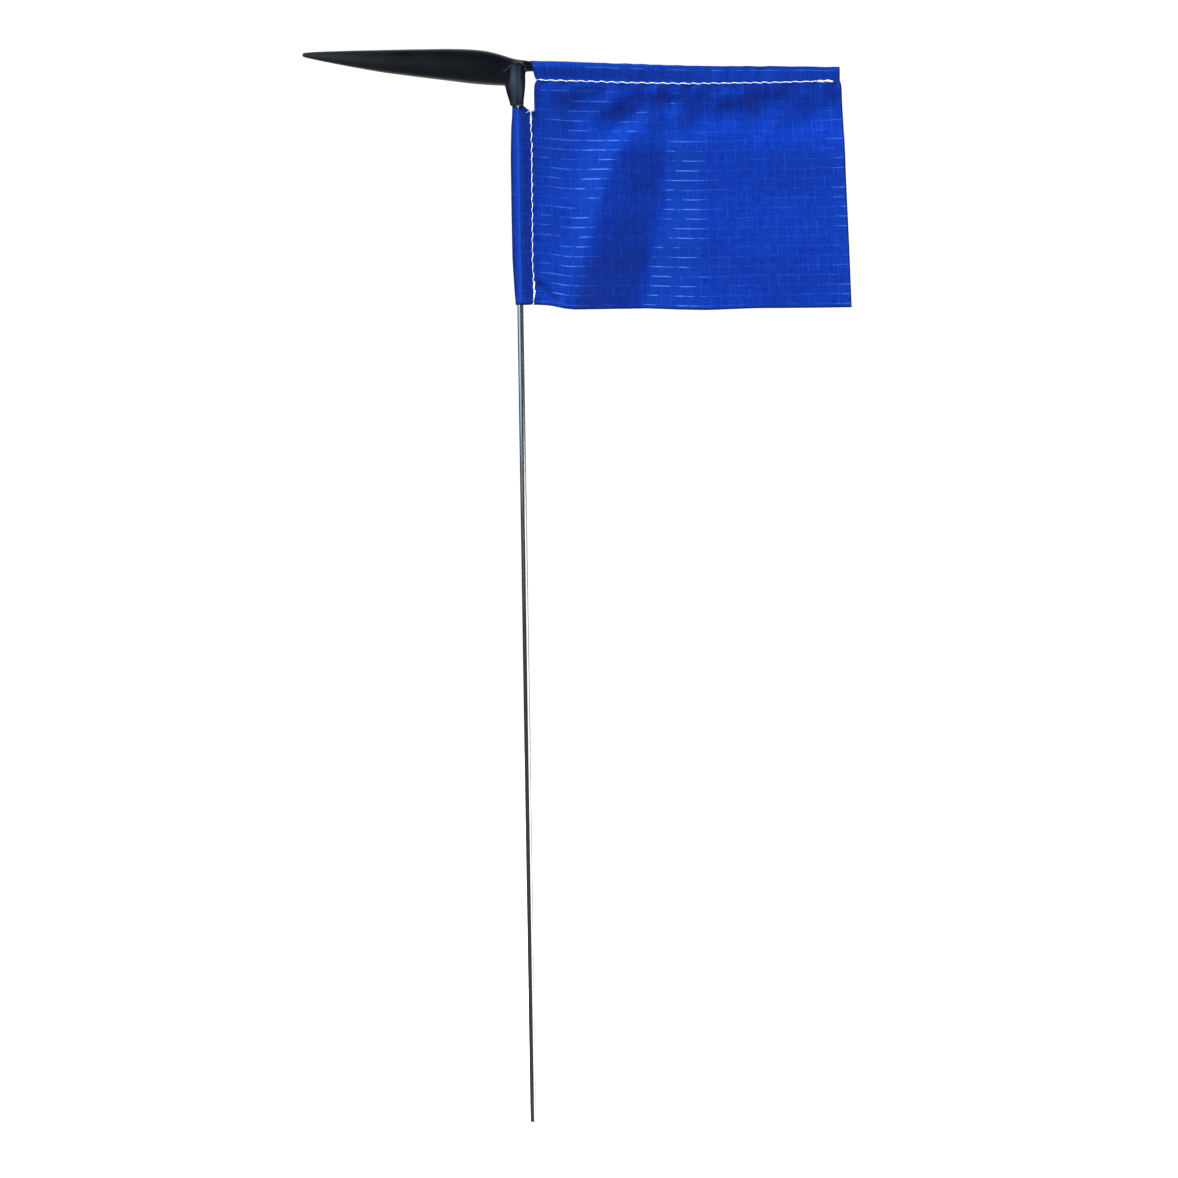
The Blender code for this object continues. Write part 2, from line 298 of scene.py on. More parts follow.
def spin(profile, sides):
    """Points and faces of a closed solid from (radius, height) pairs that run up its side."""
    angles = np.linspace(0, 2 * math.pi, sides, endpoint=False)
    return loft([[(r * math.cos(a), r * math.sin(a), z) for a in angles] for r, z in profile])


# %% Turned rod
ROD_RADIUS = rod_high[0]
ROD_SIDES = 64
CHAMFER = 0.5


def rod_profile():
    """The rod's side from foot to top, with a rounded chamfer at each end."""
    angles = np.linspace(0, math.pi / 2, 7)
    foot = [(ROD_RADIUS - CHAMFER * (1 - math.sin(a)), CHAMFER * (1 - math.cos(a))) for a in angles]
    body = [(ROD_RADIUS, z) for z in np.linspace(CHAMFER, PIVOT - CHAMFER, 40)[1:-1]]
    top = [(r, PIVOT - z) for r, z in foot[::-1]]
    return foot + body + top


rod = add_piece("masthead_rod", *spin(rod_profile(), ROD_SIDES))
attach(rod, "rod")
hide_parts("support_rod")
print("rod", len(rod.data.polygons), "faces")

# %% [markdown]
# **Stainless steel, cold drawn and polished.** Drawing pulls the bar through a
# die, so its faint scratches run lengthwise. They stretch each highlight round
# the rod and leave it sharp along it. The metal is colourless and a touch
# warm, and handling leaves patches that are slightly duller.

# %% Polished drawn stainless steel
DIE_LINE = 0.12  # millimetres between die lines, drawn coarser than the real 0.02
steel, tree = start_material("polished_drawn_stainless_steel")
place = add_node(tree, "TexCoord")
lines = add_node(tree, "Mapping", {"Vector": place.outputs["Object"], "Scale": (1, 1, 0.01)})
scratches = add_node(
    tree,
    "TexNoise",
    {"Vector": lines.outputs[0], "Scale": 1 / (DIE_LINE * MM), "Detail": 3.0, "Roughness": 0.6},
)
handling = add_node(tree, "TexNoise", {"Vector": place.outputs["Object"], "Scale": 30.0, "Detail": 2.0})
duller = add_node(tree, "MapRange", {"Value": handling.outputs["Fac"], 1: 0.35, 2: 0.7, 3: 0.12, 4: 0.2})
dents = add_node(tree, "Bump", {"Strength": 0.12, "Distance": 0.03 * MM, "Height": scratches.outputs["Fac"]})
tone = add_node(tree, "MixRGB", {0: handling.outputs["Fac"], 1: linear("#D2D1CD"), 2: linear("#C2C2C1")})
metal = add_node(
    tree,
    "BsdfPrincipled",
    {
        "Base Color": tone.outputs[0],
        "Metallic": 1.0,
        "Roughness": duller.outputs[0],
        "Normal": dents.outputs[0],
    },
)
add_node(tree, "OutputMaterial", {"Surface": metal.outputs[0]})
rod.data.materials.append(steel)
print(steel.name, "from", len(tree.nodes), "nodes")

# %% [markdown]
# ## The black head
#
# Hub, counterweight and boom are one injection moulding. Its shape is a few
# swept ovals that melt into each other with small fillets. Three rough solids
# are lofted and remeshed together into one skin of tiny cells, and then that
# skin is relaxed, which rounds the joins the way a mould maker's fillets do.

# %% Ovals and rounded ends
RING = 40


def oval(half_height, half_width, power):
    """Points round a superellipse, as (sideways, upwards)."""
    angles = np.linspace(0, 2 * math.pi, RING, endpoint=False)
    c, s = np.cos(angles), np.sin(angles)
    across = half_width * np.sign(c) * np.abs(c) ** (2 / power)
    up = half_height * np.sign(s) * np.abs(s) ** (2 / power)
    return np.stack([across, up], 1)


def stations_to(tip, rounding, count):
    """Distances from the hub out to a tip, with a number of closer ones over its rounded end."""
    round_end = tip - rounding * (1 - np.sin(np.linspace(0.2, 1.5, count)))
    return np.concatenate([np.linspace(0, tip - rounding, 60), round_end])


def end_share(x, tip, rounding):
    """1 along a limb, falling to a small share where its tip is rounded off."""
    over = np.clip((x - tip + rounding) / rounding, 0, 1)
    return np.sqrt(np.clip(1 - over * over, 0.02, 1))


# %% Counterweight
SPEAR_LENGTH = -head_low[0]
SPEAR_HALF_THICKNESS = head_high[1] - 0.1
SPEAR_ROUNDING = 1.4
SPEAR_DEEPEST_HALF = 9.05

# Stations are a distance ahead of the rod and a height.
SPEAR_TOP = [
    (0, 550.4), (3, 551.2), (7, 552.6), (11, 553.8), (15, 554.8), (20, 555.5),
    (26, 556.0), (36, 556.35), (60, 556.35), (86, 556.2), (104, 555.9), (111, 555.4),
]
SPEAR_FOOT = [
    (0, 536.6), (8, 536.8), (16, 537.4), (24, 538.2), (36, 539.9),
    (52, 542.1), (69, 544.6), (86, 547.8), (102, 551.2), (111, 553.4),
]


def spear_rings():
    """Upright ovals from inside the hub out to the blunt tip, in the counterweight's side view."""
    rings = []
    ahead = stations_to(SPEAR_LENGTH, SPEAR_ROUNDING, 8)
    shares = end_share(ahead, SPEAR_LENGTH, SPEAR_ROUNDING)
    for x, high, low, share in zip(ahead, through(ahead, SPEAR_TOP), through(ahead, SPEAR_FOOT), shares):
        half = (high - low) / 2
        width = SPEAR_HALF_THICKNESS * (half / SPEAR_DEEPEST_HALF) ** 0.9
        section = oval(half * share, width * share, 2.5)
        rings.append([(-x, y, (high + low) / 2 + z) for y, z in section])
    return rings


# %% Boom
BOOM_TIP = head_high[0]
BOOM_ROOT_HALF = 2.7
BOOM_TIP_HALF = 1.3
BOOM_FLARE = 0.45
BOOM_SQUASH = 0.62  # its width as a share of its height
BOOM_ROUNDING = 1.3
BOOM_TOP = [(-1, 550.4), (2, 550.2), (6, 549.6), (10, 548.95), (16, 548.6), (60, 546.5), (90, 545.1)]


def boom_half_height(x):
    taper = BOOM_ROOT_HALF + (BOOM_TIP_HALF - BOOM_ROOT_HALF) * x / BOOM_TIP
    return taper + BOOM_FLARE * (1 - float(ease(x, 2, 12)))


def boom_rings():
    """Ovals along the boom, hung from its top edge, which the hem rests on."""
    rings = []
    for x in stations_to(BOOM_TIP, BOOM_ROUNDING, 6):
        half = boom_half_height(x)
        share = end_share(x, BOOM_TIP, BOOM_ROUNDING)
        middle = float(through(x, BOOM_TOP)) - half
        section = oval(half * share, BOOM_SQUASH * half * share, 2.2)
        rings.append([(x, y, middle + z) for y, z in section])
    return rings


# %% Hub
HUB_FOOT_RADIUS = 3.42
HUB_SWELL = 1.15
HUB_CROWN = 2.6
HUB_FLARE = 1.5


def hub_rings():
    """Round sections up the hub, wider on the side that carries the counterweight."""
    rings = []
    side = np.linspace(head_low[2], PIVOT - 1, 26)
    crown = np.linspace(PIVOT - 0.4, PIVOT + 3.1, 8)
    for z in np.concatenate([side, crown]):
        above = z - head_low[2]
        radius = HUB_FOOT_RADIUS + HUB_SWELL * float(ease(above, 0, 12.5))
        radius -= HUB_CROWN * float(ease(z, PIVOT - 0.5, PIVOT + 3.6)) ** 1.5
        flare = HUB_FLARE * float(ease(above, -2.0, 9.0))
        ring = []
        for y, x in oval(1, 1, 2):
            reach = radius + (flare * abs(x) ** 1.5 if x < 0 else 0)
            ring.append((reach * x, radius * y, z))
        rings.append(ring)
    return rings


rough = {"spear": spear_rings(), "boom": boom_rings(), "hub": hub_rings()}
parts = [add_piece(name, *loft(rings)) for name, rings in rough.items()]
for part in parts:
    work = bmesh.new()
    work.from_mesh(part.data)
    bmesh.ops.recalc_face_normals(work, faces=work.faces)
    work.to_mesh(part.data)
    work.free()
print("rough solids", [len(part.data.polygons) for part in parts])

# %% [markdown]
# The three solids become one object and then one skin. Remeshing works in
# cells of a fixed size, here about a third of a millimetre, and the object is
# briefly scaled up because the tool dislikes very small cells. Smoothing keeps
# the volume everywhere except near the hub, where it is let sink a little, so
# that the sharp inner corners fill to fillets.

# %% One skin with fillets
CELL = 0.36

moulding = parts[0]
moulding.name = "counterweight_boom_moulding"
joined = bmesh.new()
for part in parts:
    joined.from_mesh(part.data)
joined.to_mesh(moulding.data)
joined.free()
for part in parts[1:]:
    bpy.data.objects.remove(part, do_unlink=True)
moulding.data.transform(Matrix.Scale(1 / MM, 4))
skin = moulding.modifiers.new("One skin", "REMESH")
skin.mode = "VOXEL"
skin.voxel_size = CELL
skin.use_smooth_shade = True
apply_modifiers(moulding)


def relax(mesh, rounds, weight):
    """Moves each point to the middle of its neighbours and back, which smooths without shrinking."""
    count = len(mesh.vertices)
    points = np.empty(count * 3, np.float32)
    mesh.vertices.foreach_get("co", points)
    points = points.reshape(-1, 3).astype(float)
    ends = np.empty(len(mesh.edges) * 2, np.int32)
    mesh.edges.foreach_get("vertices", ends)
    a, b = ends.reshape(-1, 2).T
    degree = np.bincount(a, minlength=count) + np.bincount(b, minlength=count)
    for _ in range(rounds):
        for factor in (0.6, -0.62):
            total = np.empty_like(points)
            for axis in range(3):
                total[:, axis] = np.bincount(a, points[b, axis], count)
                total[:, axis] += np.bincount(b, points[a, axis], count)
            pull = total / degree[:, None] - points
            points += factor * weight(points, factor)[:, None] * pull
    mesh.vertices.foreach_set("co", points.astype(np.float32).ravel())
    mesh.update()


FILLET_REACH = (9, 15)  # from the hub's middle: all fillet, and none


def fillet_weight(points, factor):
    """How strongly each point moves. Near the hub it moves back less than it moved in."""
    if factor > 0:
        return np.ones(len(points))
    from_hub = np.hypot(points[:, 0], (points[:, 2] - PIVOT + 3) * 0.9)
    return 1 - 0.8 * ease(-from_hub, -FILLET_REACH[1], -FILLET_REACH[0])


relax(moulding.data, 14, fillet_weight)
moulding.data.transform(Matrix.Scale(MM, 4))

# %% Bore for the rod
BORE_CLEARANCE = 0.08
BORE_RADIUS = ROD_RADIUS + BORE_CLEARANCE
bore_profile = [(BORE_RADIUS, head_low[2] - 2), (BORE_RADIUS, PIVOT + 0.1), (BORE_RADIUS - 0.2, PIVOT + 0.3)]
bore = add_piece("bore", *spin(bore_profile, 48))
cut = moulding.modifiers.new("Bore", "BOOLEAN")
cut.operation = "DIFFERENCE"
cut.solver = "EXACT"
cut.object = bore
apply_modifiers(moulding)
bpy.data.objects.remove(bore, do_unlink=True)
moulding.data.shade_smooth()
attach(moulding, "vane")
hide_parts("swivel_head")
print("moulding", len(moulding.data.polygons), "faces")

# %% [markdown]
# ** Black nylon, injection moulded.** The mould's walls are lightly spark
# eroded, so the skin is satin with a fine even grain. A tall narrow band down
# the middle of the hub is painted a paler, bluer grey as a painted highlight,
# and the colour turns paler and warmer towards the tip. Seen closely, a
# hair-thin parting line runs round the middle, where the two halves of the
# mould met. Beside the hub lies a short slanting flow line, where the melt
# that filled the counterweight met the melt that came round the socket. It
# stands as a slight ridge and is painted paler along its length, as a painted
# highlight.

# %% Grain and parting line
GRAIN = 0.5  # millimetres, drawn coarser than the real 0.1
nylon, tree = start_material("moulded_black_nylon")
place = add_node(tree, "TexCoord").outputs["Object"]
grain = add_node(tree, "TexNoise", {"Vector": place, "Scale": 1 / (GRAIN * MM), "Detail": 2.0, "Roughness": 0.5})
flow = add_node(tree, "TexNoise", {"Vector": place, "Scale": 90.0, "Detail": 4.0, "Roughness": 0.6})
apart = add_node(tree, "SeparateXYZ", {0: place})
side = add_node(tree, "Math", {0: apart.outputs[1]}, operation="ABSOLUTE")
parting = add_node(tree, "MapRange", {"Value": side.outputs[0], 1: 0.05 * MM, 2: 0.2 * MM, 3: 1.0, 4: 0.0})
skin_relief = {0: parting.outputs[0], 1: 1.5, 2: grain.outputs["Fac"]}
height = add_node(tree, "Math", skin_relief, operation="MULTIPLY_ADD")
print("parting line and grain of", GRAIN, "mm")

# %% Flow line
FLOW_START = Vector((-2.6, 0, PIVOT + 0.2))
FLOW_END = Vector((-7.1, 0, PIVOT - 3.9))
FLOW_HALF_WIDTH = 0.35
FLOW_FADE = 0.8
flow_way = (FLOW_END - FLOW_START).normalized()
flow_middle = (FLOW_START + FLOW_END) / 2
flow_half = (FLOW_END - FLOW_START).length / 2
from_middle = add_node(tree, "VectorMath", {0: place, 1: flow_middle * MM}, operation="SUBTRACT")


def near_line(direction, full, none):
    """1 where the distance from the line's middle, measured one way, is under full, and 0 past none."""
    reach = add_node(tree, "VectorMath", {0: from_middle.outputs[0], 1: direction}, operation="DOT_PRODUCT")
    reach = add_node(tree, "Math", {0: reach.outputs["Value"]}, operation="ABSOLUTE")
    return add_node(tree, "MapRange", {"Value": reach.outputs[0], 1: full * MM, 2: none * MM, 3: 1.0, 4: 0.0})


beside = near_line(flow_way.cross(Vector((0, 1, 0))), 0.1, FLOW_HALF_WIDTH)
along = near_line(flow_way, flow_half - FLOW_FADE, flow_half)
flow_line = add_node(tree, "Math", {0: beside.outputs[0], 1: along.outputs[0]}, operation="MULTIPLY")
with_flow_line = {0: flow_line.outputs[0], 1: 4.0, 2: height.outputs[0]}
height = add_node(tree, "Math", with_flow_line, operation="MULTIPLY_ADD")
bumps = add_node(tree, "Bump", {"Strength": 0.35, "Distance": 0.05 * MM, "Height": height.outputs[0]})
print("flow line", round(2 * flow_half, 1), "mm long")

# %% Black with a painted hub highlight, paler tip and painted flow-line highlight
# Distances to the middle of the painted hub highlight are stretched by these, so that it is tall and narrow.
HUB_HIGHLIGHT_SHAPE = (3.0, 0.6, 1.0)
HUB_HIGHLIGHT_MIDDLE = (0.3 * MM, 0.0, (head_low[2] + 11) * MM)
satin = add_node(tree, "MapRange", {"Value": flow.outputs["Fac"], 1: 0.3, 2: 0.7, 3: 0.3, 4: 0.4})
tone = add_node(tree, "MixRGB", {0: flow.outputs["Fac"], 1: linear("#040609"), 2: linear("#090C11")})
narrow = add_node(tree, "VectorMath", {0: place, 1: HUB_HIGHLIGHT_SHAPE}, operation="MULTIPLY")
hub_highlight_distance = add_node(tree, "VectorMath", {0: narrow.outputs[0], 1: HUB_HIGHLIGHT_MIDDLE}, operation="DISTANCE").outputs["Value"]
# Painted highlight: a paler, bluer band down the middle of the hub.
painted_hub_highlight = add_node(tree, "MapRange", {"Value": hub_highlight_distance, 1: 3.5 * MM, 2: 12.5 * MM, 3: 0.9, 4: 0.0})
# Paler and warmer towards the tip.
towards_tip = add_node(tree, "MapRange", {"Value": apart.outputs[0], 1: -60 * MM, 2: -105 * MM, 3: 0.0, 4: 0.8})
tone = add_node(tree, "MixRGB", {0: towards_tip.outputs[0], 1: tone.outputs[0], 2: linear("#20211F")})
tone = add_node(tree, "MixRGB", {0: painted_hub_highlight.outputs[0], 1: tone.outputs[0], 2: linear("#2B3444")})
# Painted highlight: the flow line is drawn paler.
painted_flow_highlight = add_node(tree, "Math", {0: flow_line.outputs[0], 1: 0.6}, operation="MULTIPLY")
tone = add_node(tree, "MixRGB", {0: painted_flow_highlight.outputs[0], 1: tone.outputs[0], 2: linear("#39434A")})
plastic = add_node(
    tree,
    "BsdfPrincipled",
    {
        "Base Color": tone.outputs[0],
        "Roughness": satin.outputs[0],
        "IOR": 1.53,
        "Normal": bumps.outputs[0],
    },
)
add_node(tree, "OutputMaterial", {"Surface": plastic.outputs[0]})
moulding.data.materials.clear()
moulding.data.materials.append(nylon)
print(nylon.name, "from", len(tree.nodes), "nodes")

# %% [markdown]
# ## The cloth
#
# The flag is one piece of ripstop nylon, cut with a heat knife so that its
# edges don't fray. Its front edge is folded back round the rod and its top
# edge back over the boom, each sewn down with one row of stitches, and a
# corner is cut out where the hub has to turn. So the cloth is made as one
# sheet here: a flat grid with the corner left out, whose columns to the left
# of the front seam wrap round the rod, and whose rows above the head seam wrap
# over the boom. Every point also keeps its place in the flat cut, and the
# weave is drawn from that, so the pattern runs round both folds unbroken.

# %% Measures of the cloth
PANEL_WIDTH = 161.1
PANEL_DROP = 117.0
SEAM_START = 7.1
ALLOWANCE = 2.6
LAYER = 0.28  # between the middles of two layers that are sewn together
NOTCH_SIDE = 1.9
NOTCH_DROP = 15.2
NOTCH_SLANT = 1.2
SLEEVE_SLANT = 2.8
SLEEVE_FOLD = 3.9
HEM_DEPTH = 9.9
FLY_LEAN = 3.0
STEP = 1.0
ROD_CLEARANCE = 0.14
print("panel", PANEL_WIDTH, "x", PANEL_DROP, "mm")

# %% Lines that the cloth follows


def hoist_seam_x(z):
    """The front seam wanders a little down the rod."""
    return through(z, [
        (420, 6.6), (424, 7.0), (429, 7.5), (436, 7.1), (445, 6.7), (470, 7.0),
        (492, 7.05), (503, 7.3), (512, 7.15), (523, 6.9), (540, 6.9),
    ])


def sleeve_fold_x(z):
    """The sleeve's front fold, drawn in at both ends."""
    return through(z, [
        (420, -2.2), (424, -2.4), (430, -2.9), (438, -3.3), (447, -3.75),
        (470, -3.85), (500, -3.8), (515, -3.3), (521, -2.7), (530, -2.4),
    ])


def head_seam_z(x):
    return through(x, [
        (0, 539.9), (12, 539.4), (35, 538.4), (60, 537.2),
        (90, 536.3), (125, 536.2), (155, 536.4), (172, 536.6),
    ])


def hem_top_z(x):
    return through(x, [
        (0, 549.7), (8, 549.5), (20, 549.0), (60, 547.0), (89, 545.6),
        (100, 545.3), (140, 544.5), (166, 543.7), (172, 543.5),
    ])


def foot_z(x):
    return through(x, [
        (0, 423.3), (7, 423.2), (16, 422.6), (21, 421.2), (27, 420.2), (48, 420.6),
        (64, 420.8), (80, 419.8), (95, 419.1), (120, 419.5), (150, 419.0), (175, 418.7),
    ])


# %% [markdown]
# ### Folds
#
# The panel hangs in one broad soft fold, running down and towards the rod,
# with a flatter area near the fly. What the light shows is slope, not depth,
# so the slope is what is drawn: gently towards the eye beside the seam, away
# from it across the fold's dark side, and back on its bright side. The depth
# is that slope added up along each row. Just below the head seam the cloth
# falls back a little everywhere and buckles, which leaves it in broken shade.
# Finer creases are added as waves of a few lengths with random phases that
# are the same on every run. A set-in crease crosses the lower front corner,
# where the front seam pulls.

# %% Waves and creases
WAVE_COUNT = 28
chance = np.random.default_rng(7)


def waves(x, z, length):
    """Random smooth waves of about one length, with a height near 1."""
    total = np.zeros(np.broadcast(x, z).shape)
    for _ in range(WAVE_COUNT):
        angle = chance.uniform(0, math.pi)
        reach = length * chance.uniform(0.7, 1.5)
        phase = chance.uniform(0, 2 * math.pi)
        total += np.sin(2 * math.pi * (x * math.cos(angle) + z * math.sin(angle)) / reach + phase)
    return total / math.sqrt(WAVE_COUNT / 2)


def blur(field, width, axis):
    """Smooths a grid along one axis."""
    pad = [(width, width) if a == axis else (0, 0) for a in range(2)]
    wide = np.pad(field, pad, mode="edge")
    return np.apply_along_axis(np.convolve, axis, wide, bell(width), "valid")


def crease(x, t, start, end, width):
    """1 along a line from start to end, fading to each side and at both ends."""
    start, end = np.array(start, float), np.array(end, float)
    length = np.linalg.norm(end - start)
    along = (end - start) / length
    dx, dt = x - start[0], t - start[1]
    run = dx * along[0] + dt * along[1]
    off = -dx * along[1] + dt * along[0]
    ends = ease(run, -width, width) * (1 - ease(run, length - width, length + width))
    return np.exp(-((off / width) ** 2)) * ends


# %% Fold field
# Each line is the distance below the head seam and the distance behind the rod.
VALLEY = [(0, 74), (17, 69), (40, 50), (60, 44), (85, 37), (108, 29), (120, 26)]
RIDGE = [(0, 80), (17, 79), (40, 74), (60, 73), (85, 66), (108, 62), (120, 60)]
LIFT_END = [(0, 99), (40, 99), (60, 97), (115, 91), (120, 90)]
# Creases run from one (behind the rod, below the seam) place to another.
CORNER_CREASE = ((9, 105), (20, 114))
FLY_CREASES = (((121, 7), (141, 27)), ((138, 3), (168, 26)))
VALLEY_SOFTNESS = 5.0
RIDGE_SOFTNESS = 3
FALL = 6.3
BUCKLE = 0.62


def fold_slope(x, t):
    """The slope along each row, on a grid of rows t and columns x. Above 0 it leads away from the eye."""
    valley = through(t[:, :1], VALLEY)
    ridge = through(t[:, :1], RIDGE)
    lift_end = through(t[:, :1], LIFT_END)
    past_valley = ease(x, valley - VALLEY_SOFTNESS, valley + VALLEY_SOFTNESS)
    past_ridge = ease(x, ridge - RIDGE_SOFTNESS, ridge + RIDGE_SOFTNESS)
    past_lift = ease(x, lift_end - VALLEY_SOFTNESS, lift_end + VALLEY_SOFTNESS)
    left = -0.18 * (1 - past_valley) * ease(x, 9, 17)
    dark = (0.2 + 0.05 * ease(t, 60, 100)) * past_valley * (1 - past_ridge)
    bright = -0.13 * past_ridge * (1 - past_lift)
    right = -(0.07 + 0.04 * ease(t, 50, 100)) * past_lift - 0.05 * ease(x, 155, 168)
    return blur(blur((left + dark + bright + right) * ease(t, 8, 42), 3, 1), 5, 0)


def panel_depth(x, t):
    """How far each panel point stands behind the flag's plane, in millimetres."""
    depth = np.cumsum(fold_slope(x, t) * np.gradient(x, axis=1), axis=1)
    depth -= depth[:, :1]
    held = ease(t, 0, 22) * ease(x, 7, 20)
    depth += 0.2 * held * waves(x, t, 46) + 0.06 * held * waves(x, t, 15)
    depth += FALL * ease(x, 0, 36) * ease(t, 0, 25) * (1 - 0.8 * ease(t, 20, 130))
    depth += BUCKLE * ease(t, 1, 10) * (1 - ease(t, 14, 34)) * ease(x, 10, 24) * waves(x, t, 22)
    for start, end in FLY_CREASES:
        depth += 0.9 * crease(x, t, start, end, 4.5)
    depth += 1.1 * crease(x, t, *CORNER_CREASE, 1.8)
    puckers = np.exp(-t / 7) * ease(t, 0, 1.5)
    depth += 0.34 * puckers * waves(x, t * 0.3, 7.5)
    return depth


# %% [markdown]
# ### One grid for the whole cut
#
# The sleeve's cross-section is drawn first, and its length round the rod says
# how wide a strip of cloth it takes. The hem takes twice its depth. Those
# strips, the panel and the allowances give the columns and rows of the flat
# cut, and the corner that the hub needs is left out.

# %% Sleeve cross-section


def sleeve_section():
    """The sleeve's line from the seam, round the near side, fold and far side, and its length so far."""
    near = ROD_RADIUS + ROD_CLEARANCE
    front = [
        (SEAM_START, 0.0), (5.6, -0.3), (4.0, -0.82), (2.4, -1.38), (1.0, -near + 0.06),
        (0.0, -near), (-1.2, -near + 0.1), (-2.4, -1.3), (-3.4, -0.75), (-3.82, -0.3),
    ]
    back = [(x, -y + (LAYER if y == 0 else 0)) for x, y in front[::-1]]
    line = np.array(front + [(-SLEEVE_FOLD, 0.0)] + back)
    fine = np.linspace(0, len(line) - 1, 1500)
    places = np.arange(len(line))
    curve = np.stack([smooth(np.interp(fine, places, line[:, k]), 40) for k in (0, 1)], 1)
    run = np.concatenate([[0], np.cumsum(np.hypot(*np.diff(curve, axis=0).T))])
    return run, curve


section_run, section_line = sleeve_section()
SLEEVE_GIRTH = section_run[-1]
HEM_GIRTH = 2 * HEM_DEPTH
print("sleeve girth", round(SLEEVE_GIRTH, 1), "mm, hem girth", HEM_GIRTH, "mm")

# %% Columns and rows of the flat cut


def steps(start, end):
    """Even steps of about STEP from start to end, without the start."""
    return np.linspace(start, end, int((end - start) / STEP) + 1)[1:]


sleeve_steps = np.linspace(0, SLEEVE_GIRTH, 52)[1:]
hem_steps = np.linspace(0, HEM_GIRTH, 46)[1:]
spare_steps = np.linspace(0, ALLOWANCE, 5)[1:]
columns = np.concatenate([
    -(SLEEVE_GIRTH + spare_steps[::-1]),
    -sleeve_steps[::-1],
    [0.0, 0.65, 1.3, NOTCH_SIDE],
    steps(NOTCH_SIDE, PANEL_WIDTH),
])
rows = np.concatenate([
    HEM_GIRTH + spare_steps[::-1],
    hem_steps[::-1],
    -np.linspace(0, NOTCH_DROP, 15),
    -steps(NOTCH_DROP, PANEL_DROP),
])
across, up = np.meshgrid(columns, rows)
cut_out = (across < NOTCH_SIDE - 1e-6) & (up > -NOTCH_DROP + 1e-6)
first_column = int(np.argmin(np.abs(columns)))
first_row = int(np.argmin(np.abs(rows)))
sleeve_top = first_row + int(np.argmin(np.abs(rows[first_row:] + NOTCH_DROP)))
print("cloth grid", across.shape)

# %% Panel
TOP_FADE = 9  # how far down the notch's slanted cuts fade out


def panel_shape(s, t):
    """Places the panel's grid: s to the right of the front seam, t below the head seam."""
    flat_x = SEAM_START + s
    z = head_seam_z(flat_x) + (foot_z(flat_x) - head_seam_z(flat_x)) * t / PANEL_DROP
    share = s / PANEL_WIDTH
    x = flat_x + (1 - share) * (hoist_seam_x(z) - SEAM_START) + share * FLY_LEAN * t / PANEL_DROP
    # The head seam draws in both of the panel's top corners.
    x += 1.7 * np.exp(-t / 1.7) * (1 - ease(s, NOTCH_SIDE, 9))
    x -= 0.9 * np.exp(-t / 2.0) * ease(s, PANEL_WIDTH - 8, PANEL_WIDTH)
    slanted = NOTCH_SLANT * (1 - np.clip(s / NOTCH_SIDE, 0, 1))
    slanted = slanted * (1 - ease(t, NOTCH_DROP, NOTCH_DROP + TOP_FADE))
    z = z - slanted * (t >= NOTCH_DROP - 1e-6)
    return np.stack([x, panel_depth(flat_x, t), z], -1)


cloth = np.full((*across.shape, 3), np.nan)
s_grid, t_grid = across[first_row:, first_column:], -up[first_row:, first_column:]
panel_points = panel_shape(s_grid, t_grid)
cloth[first_row:, first_column:] = panel_points
print("panel depth", panel_points[..., 1].min().round(1), "to", panel_points[..., 1].max().round(1), "mm")

# %% [markdown]
# ### Sleeve and hem
#
# Each column to the left of the front seam stands at its own distance round
# the sleeve's cross-section, and the columns past the end lie behind the panel
# as the seam allowance. Pulling a flat sheet round a rod with a simulation
# would need pins and many tries, and this keeps the cloth clear of the rod by
# a known gap. The hem does the same with rows, over the boom.

# %% Sleeve round the rod
SLEEVE_SLANT_WIDTH = 3.6
ROD_DIP = 1.2  # the sleeve's top edge sags in the middle and bares a dot of rod
LOOSE = 0.07
seam_line = cloth[sleeve_top:, first_column]
t_down = -rows[sleeve_top:]
slanted = SLEEVE_SLANT * (1 - ease(t_down, NOTCH_DROP, NOTCH_DROP + TOP_FADE))
dipped = ROD_DIP * (1 - ease(t_down, NOTCH_DROP, NOTCH_DROP + 3))
crinkle = waves(np.arange(len(t_down))[None, :] * STEP * np.ones((2, 1)), np.array([[0.0], [40.0]]), 9)


def sleeve_column(run):
    """The column that lies this far round the sleeve."""
    x0 = np.interp(run, section_run, section_line[:, 0])
    y0 = np.interp(run, section_run, section_line[:, 1])
    z = seam_line[:, 2] + slanted * np.clip((SEAM_START - x0) / SLEEVE_SLANT_WIDTH, 0, 1)
    z -= dipped * math.exp(-((x0 - 0.6) ** 2)) * (y0 < 0)
    x = seam_line[:, 0] * x0 / SEAM_START if x0 > 0 else sleeve_fold_x(z) * x0 / -SLEEVE_FOLD
    from_middle = abs(x0 - 3.5)
    share = float(ease(from_middle, -3.5, 0) * (1 - ease(from_middle, 0, 3.5)))
    loose = np.abs(LOOSE * crinkle[0 if y0 < 0 else 1] * share)
    y = y0 + (loose if y0 > 0 else -loose) + seam_line[:, 1] * min(1.0, max(0.0, x0 / SEAM_START)) ** 2
    return np.stack([x, y, z], -1)


def behind_panel(places, points, distance):
    """The panel's point this far from a seam, one layer further back. It follows the allowance."""
    x, y, z = (np.interp(distance, places, points[:, k]) for k in range(3))
    return x, y + LAYER, z


for j in range(first_column):
    run = -columns[j]
    if run <= SLEEVE_GIRTH:
        cloth[sleeve_top:, j] = sleeve_column(run)
    else:
        for i in range(sleeve_top, len(rows)):
            cloth[i, j] = behind_panel(columns[first_column:], cloth[i, first_column:], run - SLEEVE_GIRTH)
print("sleeve", first_column, "columns")

